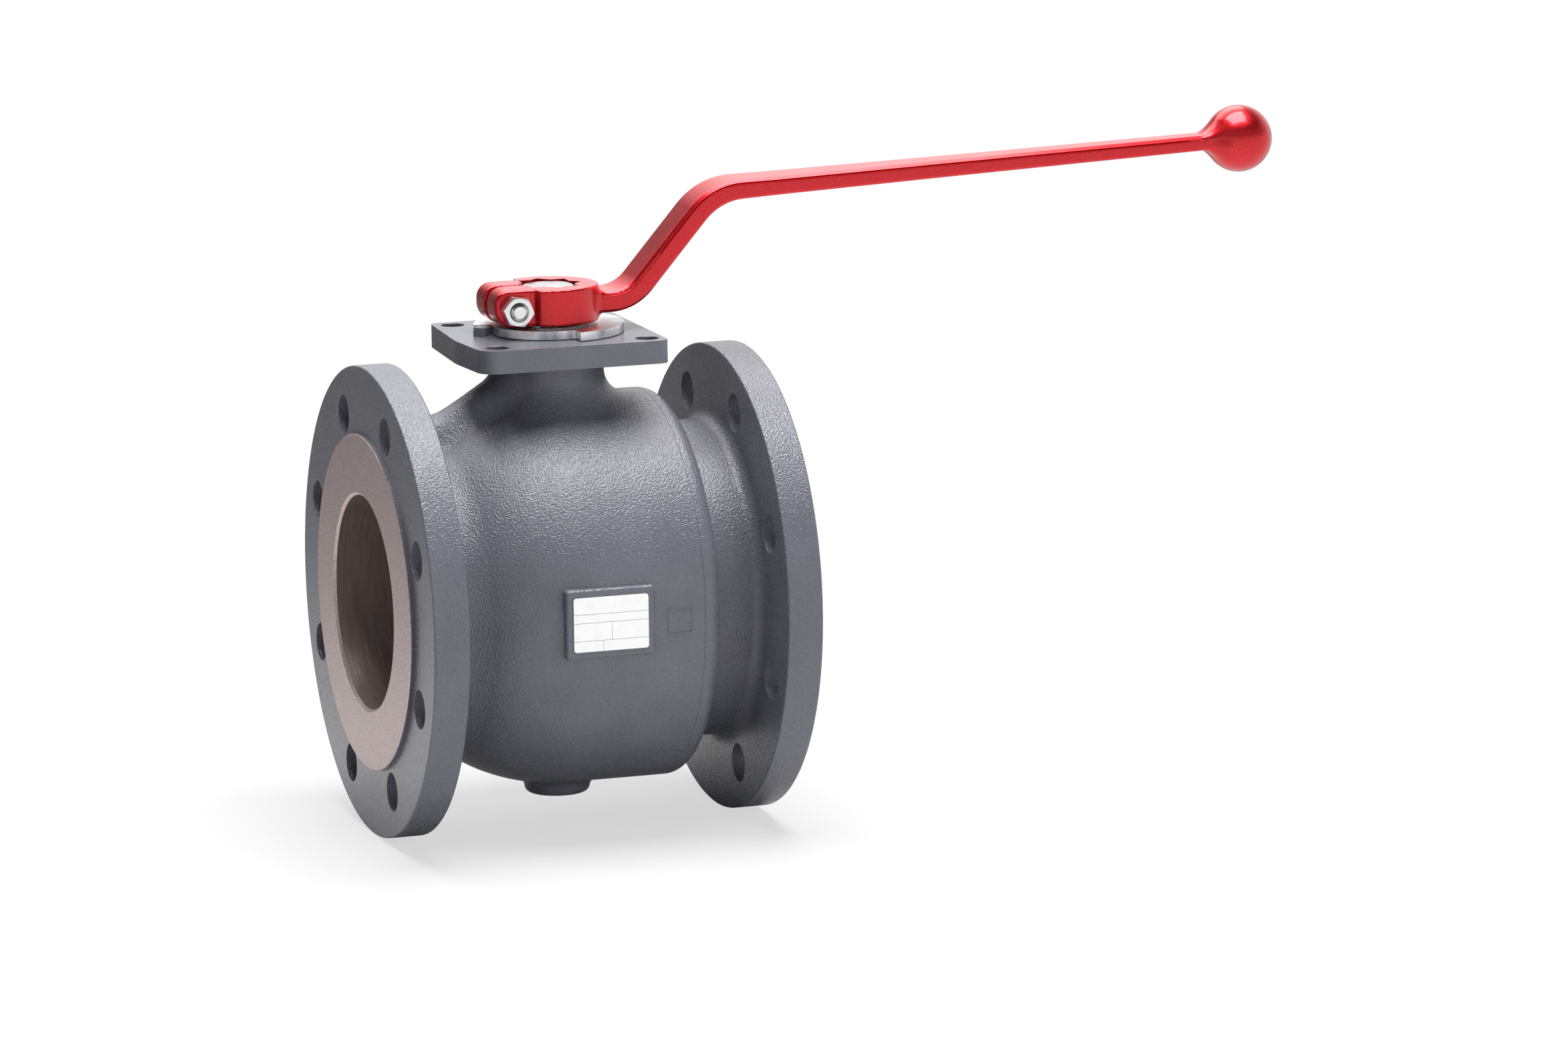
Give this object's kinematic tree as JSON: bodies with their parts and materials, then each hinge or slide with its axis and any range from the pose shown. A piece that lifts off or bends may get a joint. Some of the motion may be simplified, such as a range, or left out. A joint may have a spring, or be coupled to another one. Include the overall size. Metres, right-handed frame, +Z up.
{
  "type": "ball valve",
  "caption": "Flanged quarter-turn ball valve: a cast shell screwed together round a slotted ball, turned by a cranked ball-ended lever clamped on the stem.",
  "frame": {"origin": "where the stem axis crosses the pipe axis, at the centre of the ball", "axes": "+X along the pipe towards the outlet flange and along the lever when open, +Z up along the stem"},
  "size_m": [0.4546, 0.22, 0.3189],
  "materials": {
    "casting": "satin blue-grey enamel over cast iron, sealing faces bare",
    "red_enamel": "glossy red enamel with fine metallic flake",
    "zinc_plate": "bright zinc plate on steel",
    "stainless": "fine-ground stainless steel",
    "ptfe": "waxy white fluoropolymer",
    "seal_rubber": "matte black",
    "brass": "turned",
    "label_film": "satin white film"
  },
  "bodies": {
    "valve_body": {"body": "casting", "tail_piece": "casting", "inlet_seat_ring": "ptfe", "outlet_seat_ring": "ptfe", "inlet_seat_o_ring": "seal_rubber", "outlet_seat_o_ring": "seal_rubber", "tail_o_ring": "seal_rubber", "thrust_washer": "ptfe", "stem_bush": "brass", "lower_packing_ring": "ptfe", "middle_packing_ring": "ptfe", "upper_packing_ring": "ptfe", "gland_ring": "brass", "rating_label": "label_film"},
    "lever_and_stem": {"lever": "red_enamel", "stem": "stainless", "stop_disc": "zinc_plate", "retaining_ring": "zinc_plate", "clamp_bolt": "zinc_plate", "clamp_nut": "zinc_plate", "lower_stem_o_ring": "seal_rubber", "upper_stem_o_ring": "seal_rubber"},
    "ball": {"ball": "stainless"}
  },
  "joints": [
    {"name": "lever_turn", "type": "hinge", "parent": "valve_body", "child": "lever_and_stem", "pos_m": [0, 0, 0.13], "axis": [0, 0, 1], "range_deg": [-90, 0]},
    {"name": "ball_turn", "type": "hinge", "parent": "valve_body", "child": "ball", "pos_m": [0, 0, 0], "axis": [0, 0, 1], "range_deg": [-90, 0]}
  ],
  "couplings": [
    {"joint": "ball_turn", "follows": "lever_turn", "ratio": 1}
  ]
}
